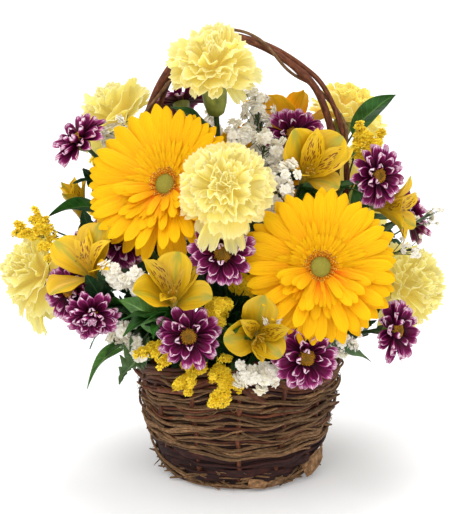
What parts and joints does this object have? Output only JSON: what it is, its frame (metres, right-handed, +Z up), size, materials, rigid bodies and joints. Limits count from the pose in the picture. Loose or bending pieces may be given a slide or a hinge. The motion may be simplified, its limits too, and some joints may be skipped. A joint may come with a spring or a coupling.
{
  "type": "flower basket arrangement",
  "caption": "Round woven vine basket with an arched twig handle, filled with gerberas, carnations, chrysanthemums, alstroemerias, baby's breath, goldenrod and leaves.",
  "frame": {"origin": "middle of the basket's flat foot, on the surface that it stands on", "axes": "+Z up, -Y towards the front of the arrangement, +X to its right; the handle arches in the XZ plane"},
  "size_m": [0.3162, 0.2539, 0.3191],
  "materials": {
    "bark": "rough dark red-brown bark strips",
    "vine": "matt grey-brown peeled vine",
    "twig": "smooth reddish-brown twig with a low sheen",
    "liner": "dark green moulded plastic",
    "foam": "wet green floral foam, fine open cells",
    "gerbera": "golden yellow petals, satin, fine lengthwise grooves, green-gold eye",
    "carnation": "pale lemon ruffled petals, matt, deeper yellow in the folds",
    "mum": "purple petals with white edges and a gold-green disc",
    "alstroemeria": "yellow tepals with green tips and fine brown flecks",
    "gypsophila": "tiny matt white double florets on thin stems",
    "solidago": "tiny golden florets on green branches",
    "leaf": "dark green leaf with a paler midrib, satin"
  },
  "bodies": {
    "root": {"alstroemeria_back_low": "alstroemeria", "alstroemeria_back_top": "alstroemeria", "alstroemeria_centre": "alstroemeria", "alstroemeria_far_left": "alstroemeria", "alstroemeria_high": "alstroemeria", "alstroemeria_left": "alstroemeria", "alstroemeria_low": "alstroemeria", "alstroemeria_right": "alstroemeria", "basket_base": "bark", "basket_lower_band": "bark", "basket_rim": "twig", "basket_weave": "vine", "carnation_back_left": "carnation", "carnation_back_low": "carnation", "carnation_back_right": "carnation", "carnation_centre": "carnation", "carnation_left": "carnation", "carnation_right": "carnation", "carnation_top": "carnation", "carnation_upper_left": "carnation", "carnation_upper_right": "carnation", "foam": "foam", "gerbera_back": "gerbera", "gerbera_left": "gerbera", "gerbera_right": "gerbera", "gypsophila_back": "gypsophila", "gypsophila_front": "gypsophila", "gypsophila_left": "gypsophila", "gypsophila_right": "gypsophila", "gypsophila_top": "gypsophila", "handle_twig_1": "twig", "handle_twig_2": "twig", "handle_vine": "vine", "leaf_broad_left": "leaf", "leaf_curled": "leaf", "leaf_far_left": "leaf", "leaf_serrated_left": "leaf", "leaf_serrated_right": "leaf", "leaf_upper_right": "leaf", "leaf_veined": "leaf", "liner": "liner", "mum_back_left": "mum", "mum_back_low": "mum", "mum_back_middle": "mum", "mum_back_top": "mum", "mum_centre": "mum", "mum_far_right": "mum", "mum_front_left": "mum", "mum_front_right": "mum", "mum_left": "mum", "mum_left_low": "mum", "mum_middle_left": "mum", "mum_right_high": "mum", "mum_right_low": "mum", "mum_upper_left": "mum", "mum_upper_right": "mum", "solidago_back": "solidago", "solidago_front": "solidago", "solidago_left": "solidago", "solidago_upper_right": "solidago"}
  },
  "joints": []
}
